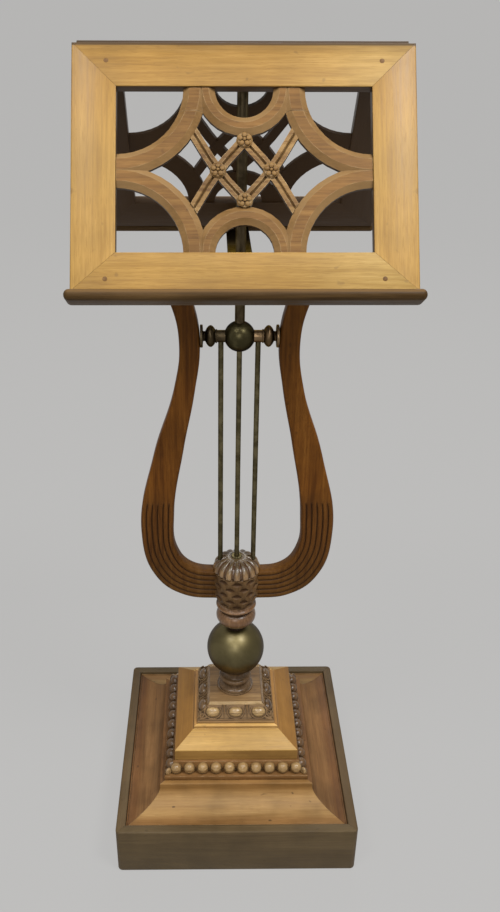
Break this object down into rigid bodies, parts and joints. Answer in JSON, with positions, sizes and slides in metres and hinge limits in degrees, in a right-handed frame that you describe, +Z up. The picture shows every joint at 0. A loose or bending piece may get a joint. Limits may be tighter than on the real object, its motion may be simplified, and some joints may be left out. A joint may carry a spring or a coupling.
{
  "type": "duet music stand",
  "caption": "Double-sided wooden music stand with pierced tracery desks hinged at a ridge, a lyre-shaped pillar with metal strings, and a stepped square base.",
  "frame": {"origin": "on the floor, under the middle of the square base", "axes": "+Z up along the pillar; -Y towards the front player, whose desk faces -Y; X along the desks"},
  "size_m": [0.492, 0.4752, 1.4726],
  "materials": {
    "dark_oak": "dark waxed oak",
    "warm_oak": "waxed oak",
    "golden_oak": "polished golden oak",
    "carved_oak": "carved and waxed oak",
    "red_oak": "polished reddish oak",
    "arm_oak": "polished brown oak",
    "desk_oak": "worn golden oak",
    "tracery_oak": "waxed oak",
    "lattice_oak": "worn pale oak",
    "olive_brass": "dull aged brass",
    "dark_bronze": "dark patinated brass",
    "iron": "plain dark iron"
  },
  "bodies": {
    "stand": {"plinth_front": "dark_oak", "plinth_back": "dark_oak", "plinth_left": "dark_oak", "plinth_right": "dark_oak", "base_deck": "dark_oak", "cove_front": "warm_oak", "cove_back": "warm_oak", "cove_left": "warm_oak", "cove_right": "warm_oak", "bead_tier": "warm_oak", "upper_plinth": "golden_oak", "carved_block": "carved_oak", "stem_foot": "carved_oak", "stem_ball": "olive_brass", "collar": "red_oak", "scale_cup": "carved_oak", "gadroon_dome": "carved_oak", "dome_ferrule": "olive_brass", "stem_tube": "iron", "stem_nut": "iron", "lyre_arm_left": "arm_oak", "lyre_arm_right": "arm_oak", "crossbar_left": "dark_bronze", "crossbar_right": "dark_bronze", "crossbar_ball": "olive_brass", "string_left": "dark_bronze", "string_right": "dark_bronze"},
    "clamp_screw": {"clamp_screw": "olive_brass"},
    "rod": {"centre_rod": "dark_bronze"},
    "head": {"pole_tube": "dark_bronze", "ridge_block": "dark_oak", "head_flange": "olive_brass", "spreader_bar": "dark_bronze", "spreader_boss": "dark_bronze", "front_hinge_left_fixed": "olive_brass", "front_hinge_right_fixed": "olive_brass", "rear_hinge_left_fixed": "olive_brass", "rear_hinge_right_fixed": "olive_brass"},
    "front_desk": {"front_top_rail": "desk_oak", "front_bottom_rail": "desk_oak", "front_left_stile": "desk_oak", "front_right_stile": "desk_oak", "front_ledge": "dark_oak", "front_tracery_crown": "tracery_oak", "front_tracery": "tracery_oak", "front_lattice": "lattice_oak", "front_hinge_left_moving": "olive_brass", "front_hinge_right_moving": "olive_brass"},
    "rear_desk": {"rear_top_rail": "desk_oak", "rear_bottom_rail": "desk_oak", "rear_left_stile": "desk_oak", "rear_right_stile": "desk_oak", "rear_ledge": "dark_oak", "rear_tracery_crown": "tracery_oak", "rear_tracery": "tracery_oak", "rear_lattice": "lattice_oak", "rear_hinge_left_moving": "olive_brass", "rear_hinge_right_moving": "olive_brass"}
  },
  "joints": [
    {"name": "clamp_screw_turn", "type": "hinge", "parent": "stand", "child": "clamp_screw", "pos_m": [0, 0, 1.0318], "axis": [0, 1, 0], "range_deg": [0, 360]},
    {"name": "height_slide", "type": "slide", "parent": "stand", "child": "rod", "axis": [0, 0, 1], "range_m": [0, 0.3]},
    {"name": "desk_swivel", "type": "hinge", "parent": "rod", "child": "head", "pos_m": [0, 0, 1.2], "axis": [0, 0, 1], "continuous": true},
    {"name": "front_desk_lift", "type": "hinge", "parent": "head", "child": "front_desk", "pos_m": [0, -0.008, 1.4657], "axis": [-1, 0, 0], "range_deg": [0, 55]},
    {"name": "rear_desk_lift", "type": "hinge", "parent": "head", "child": "rear_desk", "pos_m": [0, 0.008, 1.4657], "axis": [1, 0, 0], "range_deg": [0, 55]}
  ]
}
